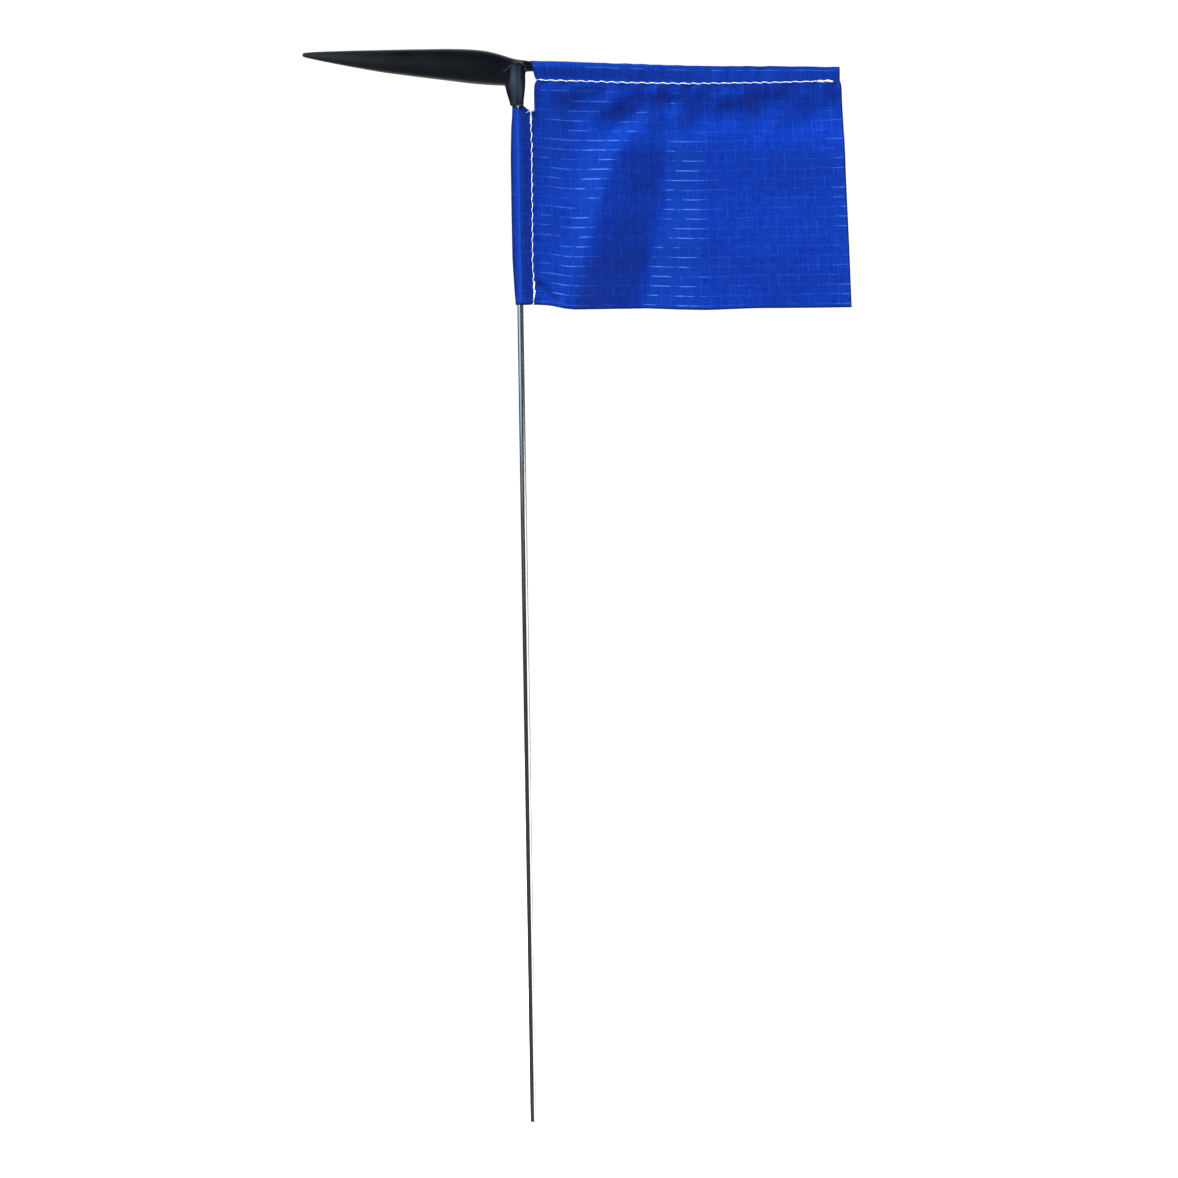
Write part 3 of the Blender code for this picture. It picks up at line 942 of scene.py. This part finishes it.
# %% Hem over the boom
hem_start = int(np.argmin(np.abs(columns - NOTCH_SIDE)))
hem_columns = np.arange(hem_start, len(columns))
seam_row = cloth[first_row, hem_columns]
hem_x = seam_row[:, 0]
hem_top = hem_top_z(hem_x)
hem_ripple = [waves(hem_x[None, :], np.array([[k * 30.0]]), 8)[0] for k in range(4)]
inside = 1 - ease(hem_x, BOOM_TIP - 2, BOOM_TIP + 5)
over_boom = inside > 0.02
boom_half = np.array([boom_half_height(x) for x in np.minimum(hem_x, BOOM_TIP)])
half = np.where(over_boom, boom_half, BOOM_TIP_HALF)
belly = BOOM_SQUASH * half + 0.2
END_LEAN = -3.2  # the slanted cut at the hem's front end
end_lean = END_LEAN * (1 - ease(hem_x, hem_x[0], hem_x[0] + 10))


def hem_row(run):
    """The row that lies this far over the hem: up its front, over the boom and down its back."""
    front = run <= HEM_DEPTH
    share = run / HEM_DEPTH if front else 2 - run / HEM_DEPTH
    way = -1 if front else 1
    z = seam_row[:, 2] + (hem_top - seam_row[:, 2]) * math.sin(share * math.pi / 2) ** 0.9
    below = hem_top - z
    crown = np.sqrt(np.clip(1 - ((half - below) / (half + 0.05)).clip(0, 1) ** 2, 0, 1))
    tail = 1 - ease(below, half, hem_top - seam_row[:, 2] - 0.4)
    width = belly * np.where(below < half, crown, 1) * tail * inside
    width += 0.32 * (1 - inside) * np.sin(min(share, 1) * math.pi) ** 0.5
    ripple = hem_ripple[0 if front else 1] * 0.2 * math.sin(share * math.pi) * (1 - 0.35 * inside)
    ripple = np.where(over_boom, np.abs(ripple) * way, ripple)
    y = way * width + ripple + (0 if front else LAYER * (1 - share)) + seam_row[:, 1]
    return np.stack([hem_x + end_lean * share**0.4, y, z + 0.06 * hem_ripple[2] * share], -1)


for i in range(first_row):
    if rows[i] <= HEM_GIRTH:
        cloth[i, hem_columns] = hem_row(rows[i])
    else:
        for j in hem_columns:
            cloth[i, j] = behind_panel(-rows[first_row:], cloth[first_row:, j], rows[i] - HEM_GIRTH)
print("hem", first_row, "rows")

# %% Cloth mesh
number = np.full(across.shape, -1)
kept = ~cut_out & ~np.isnan(cloth[..., 0])
number[kept] = np.arange(kept.sum())
quads = np.stack([number[:-1, :-1], number[1:, :-1], number[1:, 1:], number[:-1, 1:]], -1).reshape(-1, 4)
quads = quads[(quads >= 0).all(1)]
flag = add_piece("flag_cloth", cloth[kept], quads.tolist())
flat_cut = flag.data.attributes.new("flat_cut", "FLOAT_VECTOR", "POINT")
flat_places = np.stack([across[kept], up[kept], np.zeros(kept.sum())], 1) * MM
flat_cut.data.foreach_set("vector", flat_places.astype(np.float32).ravel())
print("cloth points", kept.sum())

# %% [markdown]
# ### What the cloth's material has to know
#
# Three more values are stored at each point. The first says how much the cloth
# leans to the light, and so where paler paint stands in for light and glints
# on it. The second marks the line where the sleeve is stretched over the rod,
# which is painted paler as a painted highlight. The third darkens the
# heat-sealed cut edges, and adds painted shade along the two folds and the
# set-in crease. A shader can't see any of these by itself. They stay with the
# cloth when the vane turns.

# %% Values for the material


def add_field(name, values):
    """Stores one value for each point of the cloth."""
    field = flag.data.attributes.new(name, "FLOAT", "POINT")
    field.data.foreach_set("value", values[kept].astype(np.float32))


slope = np.zeros(across.shape)
panel_x, panel_y = panel_points[..., 0], panel_points[..., 1]
slope[first_row:, first_column:] = np.gradient(panel_y, axis=1) / np.gradient(panel_x, axis=1)
# Painted glint and painted light: how much paler paint each point gets, from the cloth's lean to the light, less
# towards the fly, more beside the front seam and a set share on the hem.
fly_side = 0.88 * ease(columns, 79, 92) * (1 - 0.5 * ease(columns, 148, 162))
painted_glint_share = ease(-blur(blur(slope, 7, 1), 9, 0), 0.0, 0.12) * (1 - fly_side)
painted_glint_share = np.maximum(painted_glint_share, 0.5 * ease(columns, 1, 8) * (1 - ease(columns, 24, 36)))
painted_glint_share[:first_row] = 0.4
add_field("glint", painted_glint_share)

folded = (columns < 0) & (columns > -SLEEVE_GIRTH)
fold_x = np.interp(-columns, section_run, section_line[:, 0])
# Painted highlight: the sleeve's ridge over the rod, which the material draws paler.
stretched = np.where(folded & (-columns < SLEEVE_GIRTH / 2), np.exp(-(((fold_x - 0.2) / 0.6) ** 2)), 0)
add_field("over_rod", np.broadcast_to(stretched, across.shape))

# The heat-sealed cut edges are darker, and painted shade darkens the set-in crease, the hem's fold and the
# sleeve's fold.
rim = np.zeros(across.shape)
filled = np.pad(kept, 1)
for down, right in ((0, 1), (2, 1), (1, 0), (1, 2)):
    rim[~filled[down : down + kept.shape[0], right : right + kept.shape[1]]] = 1
corner_crease = 0.5 * crease(s_grid + SEAM_START, t_grid, *CORNER_CREASE, 1.1)
rim[first_row:, first_column:] += corner_crease * (1 - rim[first_row:, first_column:])
hem_fold = 0.45 * np.exp(-(((rows[:first_row, None] - HEM_DEPTH) / 2.4) ** 2))
rim[:first_row] = np.maximum(rim[:first_row], hem_fold)
sleeve_fold = 0.9 * ease(-fold_x, 1.6, 2.9)
rim[:, folded] = np.maximum(rim, sleeve_fold)[:, folded]
add_field("sealed_edge_and_fold_shade", rim)
print("glint on", round(100 * (painted_glint_share[kept] > 0.3).mean()), "per cent of the cloth")

# %% Cloth thickness
CLOTH_THICKNESS = 0.12
thickness = flag.modifiers.new("Cloth thickness", "SOLIDIFY")
thickness.thickness = CLOTH_THICKNESS * MM
thickness.offset = 0
apply_modifiers(flag)
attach(flag, "vane")
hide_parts("flag_panel", "hoist_sleeve", "head_hem")
print("cloth", len(flag.data.polygons), "faces")

# %% [markdown]
# ** Ripstop nylon, plain woven and dyed blue.** Fine yarns make a smooth
# shiny cloth, and every 5 mm a doubled yarn runs each way, which stops a tear
# and draws a grid. The doubled yarns stand proud in relief. Their glint is
# painted: short pale dashes along the level ones where the cloth leans to the
# light, and a paler painted sheen along the upright ones. The cloth is also
# tinted paler as painted light where it leans to the light, its ridge over the
# rod is painted paler as a painted highlight, and its folds and the set-in
# crease are darkened as painted shade. The heat-sealed cut edges are darker.
# The cloth is so thin that light behind it shows through, and two layers of
# it look darker than one.

# %% Doubled yarns
RIPSTOP = 5.0
YARN = 0.7  # millimetres, drawn coarser than the real 0.2
DOUBLED = 0.42  # width of a doubled yarn
ripstop, tree = start_material("woven_blue_ripstop_nylon")
plan = add_node(tree, "Attribute", attribute_name="flat_cut")
painted_glint = add_node(tree, "Attribute", attribute_name="glint")
axes = add_node(tree, "SeparateXYZ", {0: plan.outputs["Vector"]})


def grid_line(axis):
    """1 on each doubled yarn that is crossed when moving along this axis."""
    gap = add_node(tree, "Math", {0: axis, 1: RIPSTOP * MM / 2}, operation="PINGPONG")
    full, none = 0.3 * DOUBLED * MM, 0.9 * DOUBLED * MM
    return add_node(tree, "MapRange", {"Value": gap.outputs[0], 1: full, 2: none, 3: 1.0, 4: 0.0})


upright = grid_line(axes.outputs[0])
level = grid_line(axes.outputs[1])
print("doubled yarns every", RIPSTOP, "mm")

# %% Streaks along the yarns


def streaks(along, over, seed):
    """Noise stretched along one thread direction, with its two sizes in millimetres."""
    scale = (1 / (along * MM), 1 / (over * MM), 1)
    inputs = {"Vector": plan.outputs["Vector"], "Location": (seed, seed, seed), "Scale": scale}
    stretch = add_node(tree, "Mapping", inputs).outputs[0]
    return add_node(tree, "TexNoise", {"Vector": stretch, "Scale": 1.0, "Detail": 2.0, "Roughness": 0.55})


weft_streaks = streaks(7.0, YARN, 3.0)
warp_streaks = streaks(YARN, 7.0, 11.0)
dashes = streaks(9.0, 2.2, 29.0)
breaks = streaks(2.5, 9.0, 41.0)
mottle = streaks(26.0, 26.0, 5.0)
both_ways = {0: weft_streaks.outputs["Fac"], 1: warp_streaks.outputs["Fac"]}
streaky = add_node(tree, "Math", both_ways, operation="ADD")
shade = add_node(tree, "MapRange", {"Value": streaky.outputs[0], 1: 0.7, 2: 1.3, 3: 0.0, 4: 1.0})
print("yarn streaks", YARN, "mm wide")

# %% Dyed colour, with painted light, glints, sheen, highlight and shade
base = add_node(tree, "MixRGB", {0: shade.outputs[0], 1: linear("#042C9A"), 2: linear("#1247C0")})
patch = add_node(tree, "MapRange", {"Value": mottle.outputs["Fac"], 1: 0.35, 2: 0.65, 3: 0.0, 4: 0.35})
base = add_node(tree, "MixRGB", {0: patch.outputs[0], 1: base.outputs[0], 2: linear("#0A33A2")})
# Painted light: the cloth is tinted paler and greener where it leans to the light.
painted_lean_light = add_node(tree, "Math", {0: painted_glint.outputs["Fac"], 1: 0.4}, operation="MULTIPLY")
base = add_node(tree, "MixRGB", {0: painted_lean_light.outputs[0], 1: base.outputs[0], 2: linear("#1448B0")})
# Painted glint: short pale dashes along the level doubled yarns where the cloth leans to the light.
painted_dash_glint = add_node(tree, "MapRange", {"Value": dashes.outputs["Fac"], 1: 0.45, 2: 0.54, 3: 0.0, 4: 1.0})
painted_dash_glint = add_node(tree, "Math", {0: painted_dash_glint.outputs[0], 1: painted_glint.outputs["Fac"]}, operation="MULTIPLY")
painted_dash_glint = add_node(tree, "Math", {0: painted_dash_glint.outputs[0], 1: 0.9, 2: 0.035}, operation="MULTIPLY_ADD")
painted_dash_glint = add_node(tree, "Math", {0: painted_dash_glint.outputs[0], 1: level.outputs[0]}, operation="MULTIPLY")
base = add_node(tree, "MixRGB", {0: painted_dash_glint.outputs[0], 1: base.outputs[0], 2: linear("#5F8AF2")})
# Painted sheen: the upright doubled yarns are drawn paler, in broken lengths.
faint = add_node(tree, "MapRange", {"Value": breaks.outputs["Fac"], 1: 0.42, 2: 0.66, 3: 0.05, 4: 0.42})
faint = add_node(tree, "Math", {0: faint.outputs[0], 1: upright.outputs[0]}, operation="MULTIPLY")
base = add_node(tree, "MixRGB", {0: faint.outputs[0], 1: base.outputs[0], 2: linear("#2F5BD2")})
# Painted highlight: the sleeve's ridge over the rod is drawn paler.
rod_line = add_node(tree, "Attribute", attribute_name="over_rod")
painted_ridge_highlight = add_node(tree, "Math", {0: rod_line.outputs["Fac"], 1: 0.5}, operation="MULTIPLY")
base = add_node(tree, "MixRGB", {0: painted_ridge_highlight.outputs[0], 1: base.outputs[0], 2: linear("#2E66D8")})
# Darker heat-sealed cut edges, with painted shade along the folds and the set-in crease.
edge = add_node(tree, "Attribute", attribute_name="sealed_edge_and_fold_shade")
darker_edges_and_painted_shade = add_node(tree, "Math", {0: edge.outputs["Fac"], 1: 0.85}, operation="MULTIPLY")
base = add_node(tree, "MixRGB", {0: darker_edges_and_painted_shade.outputs[0], 1: base.outputs[0], 2: linear("#0A1850")})
print("colour so far from", len(tree.nodes), "nodes")

# %% Weave relief and thin cloth
weft_wave = add_node(tree, "Math", {0: axes.outputs[0], 1: YARN * MM / 2}, operation="PINGPONG")
warp_wave = add_node(tree, "Math", {0: axes.outputs[1], 1: YARN * MM / 2}, operation="PINGPONG")
weave = add_node(tree, "Math", {0: weft_wave.outputs[0], 1: warp_wave.outputs[0]}, operation="ADD")
weave_high = add_node(tree, "Math", {0: weave.outputs[0], 1: 1 / (YARN * MM)}, operation="MULTIPLY")
grid = add_node(tree, "Math", {0: upright.outputs[0], 1: level.outputs[0]}, operation="MAXIMUM")
with_grid = {0: grid.outputs[0], 1: 1.6, 2: weave_high.outputs[0]}
relief = add_node(tree, "Math", with_grid, operation="MULTIPLY_ADD")
with_streaks = {0: streaky.outputs[0], 1: 1.2, 2: relief.outputs[0]}
relief = add_node(tree, "Math", with_streaks, operation="MULTIPLY_ADD")
bumps = add_node(tree, "Bump", {"Strength": 0.5, "Distance": 0.06 * MM, "Height": relief.outputs[0]})
gloss = add_node(tree, "MapRange", {"Value": streaky.outputs[0], 1: 0.7, 2: 1.3, 3: 0.62, 4: 0.5})
dyed = add_node(
    tree,
    "BsdfPrincipled",
    {
        "Base Color": base.outputs[0],
        "Roughness": gloss.outputs[0],
        "IOR": 1.53,
        "Specular IOR Level": 0.2,
        "Sheen Weight": 0.08,
        "Sheen Roughness": 0.4,
        "Sheen Tint": linear("#9A98F5"),
        "Normal": bumps.outputs[0],
    },
)
through_light = add_node(tree, "BsdfTranslucent", {"Color": base.outputs[0], "Normal": bumps.outputs[0]})
thin = add_node(tree, "MixShader", {0: 0.3, 1: dyed.outputs[0], 2: through_light.outputs[0]})
add_node(tree, "OutputMaterial", {"Surface": thin.outputs[0]})
flag.data.materials.append(ripstop)
print(ripstop.name, "from", len(tree.nodes), "nodes")

# %% [markdown]
# ## The seams
#
# Each seam is a lockstitch of white polyester. A stitch is a short arch of
# twisted thread that dives into the cloth at both ends, and it lies at a
# slight slant because the thread's twist rolls it. The needle thread shows on
# one side and the bobbin thread on the other. A machine sews back over its
# own start and finish, which leaves a thick short stretch at the ends.

# %% Twisted thread helper
PLIES = 3
LOBE = 0.22
THREAD_RADIUS = 0.22
TWIST = 1.9
THREAD_SIDES = 9
FIBRE_SIDES = 5


def sweep(path, radius, lobed=True):
    """Points and faces of a thread along a path: three plies twisted together, or one plain fibre."""
    path = np.asarray(path, float)
    ahead = np.gradient(path, axis=0)
    ahead /= np.linalg.norm(ahead, axis=1)[:, None]
    run = np.concatenate([[0], np.cumsum(np.linalg.norm(np.diff(path, axis=0), axis=1))])
    guide = np.array([0.0, 1.0, 0.0])
    rings = []
    sides = THREAD_SIDES if lobed else FIBRE_SIDES
    angles = np.linspace(0, 2 * math.pi, sides, endpoint=False)
    for point, direction, length in zip(path, ahead, run):
        out = guide - direction * (guide @ direction)
        out /= np.linalg.norm(out)
        side = np.cross(direction, out)
        turn = 2 * math.pi * length / TWIST / PLIES
        reach = radius * (1 + (LOBE * np.cos(PLIES * (angles - turn)) if lobed else 0 * angles))
        around = np.cos(angles)[:, None] * out + np.sin(angles)[:, None] * side
        rings.append(point + reach[:, None] * around)
    points = np.concatenate(rings)
    faces = []
    for k in range(len(path) - 1):
        for i in range(sides):
            j = (i + 1) % sides
            faces.append((k * sides + i, (k + 1) * sides + i, (k + 1) * sides + j, k * sides + j))
    faces.append(tuple(range(sides)))
    faces.append(tuple(range(len(points) - sides, len(points)))[::-1])
    return points, faces


def gather(bundles):
    """Several sets of points and faces as one."""
    points, faces, count = [], [], 0
    for some_points, some_faces in bundles:
        points.append(some_points)
        faces += [tuple(i + count for i in face) for face in some_faces]
        count += len(some_points)
    return np.concatenate(points), faces


# %% Stitch paths
STITCH = 5.3
RISE = 0.26
SLANT = 0.38
DIP = 0.34
STITCH_POINTS = 14


def stitch_run(place, start, end, side, shift=0.0):
    """Stitches along a seam. place turns a distance into a point on the cloth's near or far face."""
    count = max(1, round(abs(end - start) / STITCH))
    length = (end - start) / count
    path = []
    for k in range(count):
        slant = SLANT * chance.uniform(0.6, 1.25)
        for f in np.linspace(0, 1, STITCH_POINTS, endpoint=False):
            point, sideways = place(start + (k + f) * length)
            arch = math.sin(math.pi * f) ** 0.5
            off = shift + slant * math.cos(math.pi * f) * (0.35 + 0.65 * math.sin(math.pi * f))
            path.append(point + sideways * off + np.array([0, side * (-DIP + (RISE + DIP) * arch), 0]))
    return path


def on_head_seam(x):
    s = np.interp(x, cloth[first_row, hem_columns, 0], np.arange(len(hem_columns)))
    low = int(s)
    share = s - low
    high = min(low + 1, len(hem_columns) - 1)
    point = cloth[first_row, hem_columns[low]] * (1 - share) + cloth[first_row, hem_columns[high]] * share
    return point, np.array([0, 0, 1.0])


def on_hoist_seam(z):
    heights = cloth[sleeve_top:, first_column, 2][::-1]
    points = cloth[sleeve_top:, first_column][::-1]
    point = np.array([np.interp(z, heights, points[:, k]) for k in range(3)])
    return point, np.array([1.0, 0, 0])


def far_side(place):
    """The same seam on the cloth's far face."""

    def behind(distance):
        point, sideways = place(distance)
        return point + np.array([0, LAYER, 0]), sideways

    return behind


# %% Threads of a seam
HEAD_SEAM = (11.0, 164.0)
HOIST_SEAM = (522.6, 424.2)
NEAR, FAR = -1, 1


def seam_thread(name, node, place, seam, side, tacks, tails=()):
    """One thread of a seam. A tack is a stretch that is sewn over again, with a shift for each new row."""
    runs = [stitch_run(place, *seam, side)]
    for low, high, shifts in tacks:
        for shift in shifts:
            runs.append(stitch_run(place, low, high, side, shift))
    bundles = [sweep(run, THREAD_RADIUS) for run in runs]
    bundles += [sweep(tail, radius, lobed) for tail, radius, lobed in tails]
    points, faces = gather(bundles)
    made = add_piece(name, points, faces)
    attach(made, "vane")
    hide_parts(node)
    return made


FIBRE_RADIUS = 0.11


def fuzz(start, count, reach):
    """Fine loose fibres that fan out from a cut thread end."""
    found = []
    for _ in range(count):
        aim = np.array([chance.normal(0, 0.8), chance.normal(0, 0.5), chance.normal(0.3, 0.6)])
        aim /= np.linalg.norm(aim)
        bend = np.array([chance.normal(0, 0.5), chance.normal(0, 0.3), chance.normal(0, 0.5)])
        length = reach * chance.uniform(0.5, 1.1)
        run = np.linspace(0, 1, 7)[:, None]
        found.append((start + aim * length * run + bend * length * run**2 * 0.5, FIBRE_RADIUS, False))
    return found


# %% Four runs of stitches
hoist_top = on_hoist_seam(HOIST_SEAM[0])[0]
tail_steps = np.array([[0, 0, 0], [-0.25, -0.06, -0.5], [-0.7, -0.1, -1.0], [-1.2, -0.05, -1.5]])
tail = on_hoist_seam(HOIST_SEAM[1])[0] + np.array([0, -0.2, 0]) + tail_steps
hoist_tails = fuzz(hoist_top + np.array([-0.3, -0.2, 0.7]), 26, 2.4) + [(tail, 0.2, True)]

stitches = [
    seam_thread(
        "hoist_seam_needle_stitches", "hoist_seam_needle_thread", on_hoist_seam, HOIST_SEAM, NEAR,
        [(521.0, 516.2, (-0.25, 0.3)), (435.4, 426.6, (-0.2, 0.28))], hoist_tails,
    ),
    seam_thread(
        "hoist_seam_bobbin_stitches", "hoist_seam_bobbin_thread", far_side(on_hoist_seam), HOIST_SEAM, FAR,
        [(521.0, 516.2, (-0.2, 0.25)), (435.4, 426.6, (0.25,))],
    ),
    seam_thread(
        "head_seam_needle_stitches", "head_seam_needle_thread", on_head_seam, HEAD_SEAM, NEAR,
        [(155.5, 164.2, (-0.28, 0.3))],
    ),
    seam_thread(
        "head_seam_bobbin_stitches", "head_seam_bobbin_thread", far_side(on_head_seam), HEAD_SEAM, FAR,
        [(155.5, 164.2, (-0.25, 0.25))],
    ),
]
print("stitches", [len(piece.data.polygons) for piece in stitches], "faces")

# %% [markdown]
# ** White polyester thread.** Three plies of fine filaments are twisted
# together, so the thread is bright and slightly silky, and its grooves are a
# cool grey.

# %% White polyester thread
FILAMENT = 0.15  # millimetres, drawn coarser than the real 0.02
polyester, tree = start_material("twisted_white_polyester_thread")
place = add_node(tree, "TexCoord")
fine = add_node(
    tree, "TexNoise", {"Vector": place.outputs["Object"], "Scale": 1 / (FILAMENT * MM), "Detail": 2.0}
)
tone = add_node(tree, "MixRGB", {0: fine.outputs["Fac"], 1: linear("#EEF2FF"), 2: linear("#FFFFFF")})
bumps = add_node(tree, "Bump", {"Strength": 0.4, "Distance": 0.00004, "Height": fine.outputs["Fac"]})
spun = add_node(
    tree,
    "BsdfPrincipled",
    {
        "Base Color": tone.outputs[0],
        "Roughness": 0.5,
        "IOR": 1.57,
        "Sheen Weight": 0.3,
        "Sheen Roughness": 0.35,
        "Normal": bumps.outputs[0],
    },
)
add_node(tree, "OutputMaterial", {"Surface": spun.outputs[0]})
for piece in stitches:
    piece.data.materials.append(polyester)
print(polyester.name, "on", len(stitches), "threads")
